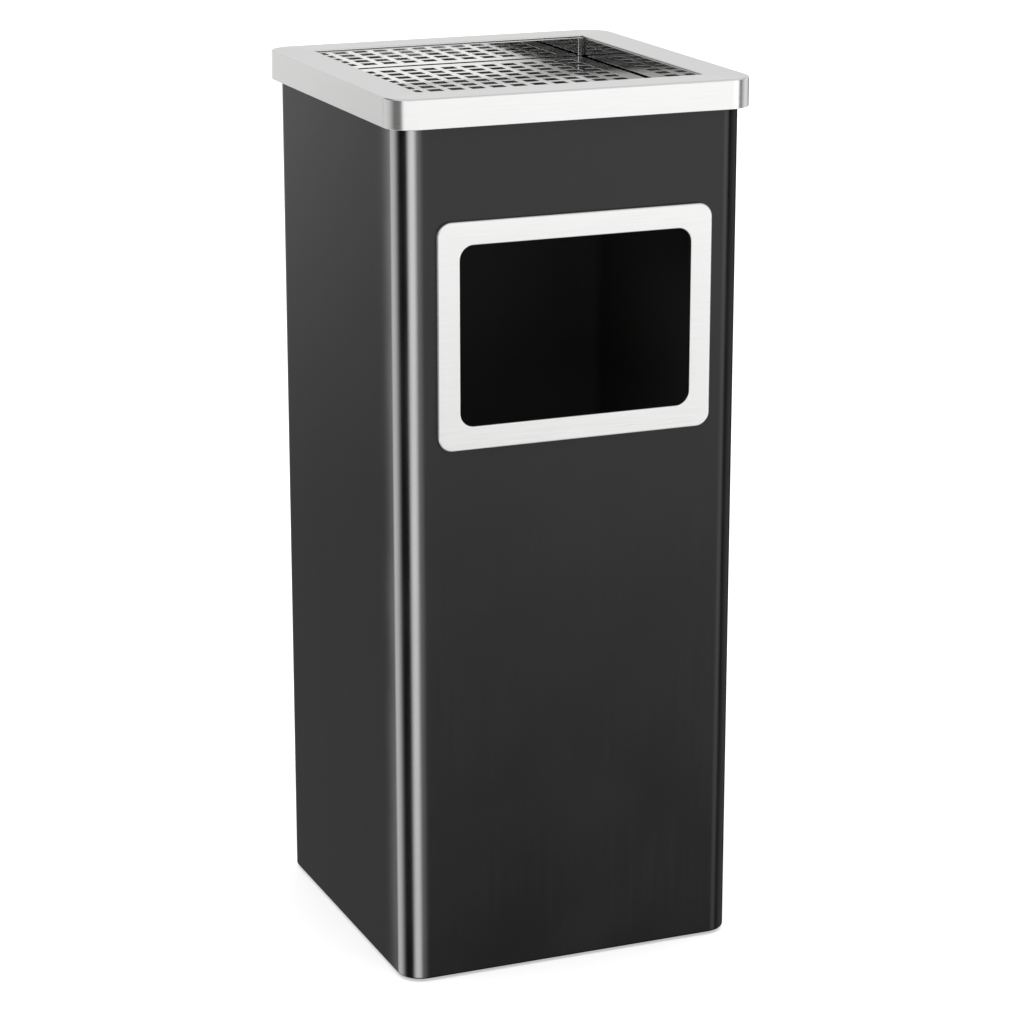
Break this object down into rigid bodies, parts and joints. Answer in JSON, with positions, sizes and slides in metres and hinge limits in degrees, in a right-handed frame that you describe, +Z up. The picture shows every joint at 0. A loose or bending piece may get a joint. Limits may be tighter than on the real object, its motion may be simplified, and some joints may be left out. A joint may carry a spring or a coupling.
{
  "type": "ashtray bin",
  "caption": "Tall square bin with a front rubbish opening, a lift-off lid holding an ash pan with a perforated grille, and a removable pail with a wire handle.",
  "frame": {"origin": "on the floor, under the middle of the bin's square footprint", "axes": "+Z up, -Y out of the front rubbish opening, +X to the right for a person who faces the opening"},
  "size_m": [0.258, 0.258, 0.61],
  "materials": {
    "painted_steel": "black semi-gloss lacquer over brushed sheet",
    "satin_stainless": "satin brushed",
    "polished_stainless": "mirror polished",
    "galvanised_steel": "zinc spangle",
    "zinc_plated": "bright zinc plate",
    "rubber": "matte black"
  },
  "bodies": {
    "housing": {"outer_shell": "painted_steel", "base_plate": "painted_steel", "opening_trim": "satin_stainless", "trim_nut_upper_left": "zinc_plated", "trim_nut_upper_right": "zinc_plated", "trim_nut_lower_left": "zinc_plated", "trim_nut_lower_right": "zinc_plated", "foot_front_left": "rubber", "foot_front_right": "rubber", "foot_rear_left": "rubber", "foot_rear_right": "rubber", "foot_screw_front_left": "zinc_plated", "foot_screw_front_right": "zinc_plated", "foot_screw_rear_left": "zinc_plated", "foot_screw_rear_right": "zinc_plated"},
    "lid": {"lid_rim": "satin_stainless", "ash_pan": "polished_stainless"},
    "grille": {"grille_plate": "polished_stainless", "grille_frame": "polished_stainless"},
    "pail": {"pail_wall": "galvanised_steel", "pail_bottom": "galvanised_steel", "bail_ear_left": "galvanised_steel", "bail_ear_right": "galvanised_steel", "ear_rivet_left_front": "zinc_plated", "ear_rivet_left_rear": "zinc_plated", "ear_rivet_right_front": "zinc_plated", "ear_rivet_right_rear": "zinc_plated"},
    "bail": {"bail_handle": "zinc_plated"}
  },
  "joints": [
    {"name": "lid_lift", "type": "slide", "parent": "housing", "child": "lid", "axis": [0, 0, 1], "range_m": [0, 0.75]},
    {"name": "grille_lift", "type": "slide", "parent": "lid", "child": "grille", "axis": [0, 0, 1], "range_m": [0, 0.06]},
    {"name": "pail_lift", "type": "slide", "parent": "housing", "child": "pail", "axis": [0, 0, 1], "range_m": [0, 0.615]},
    {"name": "bail_swing", "type": "hinge", "parent": "pail", "child": "bail", "pos_m": [0, 0, 0.288], "axis": [1, 0, 0], "range_deg": [0, 152.8]}
  ],
  "couplings": [
    {"joint": "pail_lift", "follows": "lid_lift", "ratio": 0.82}
  ]
}
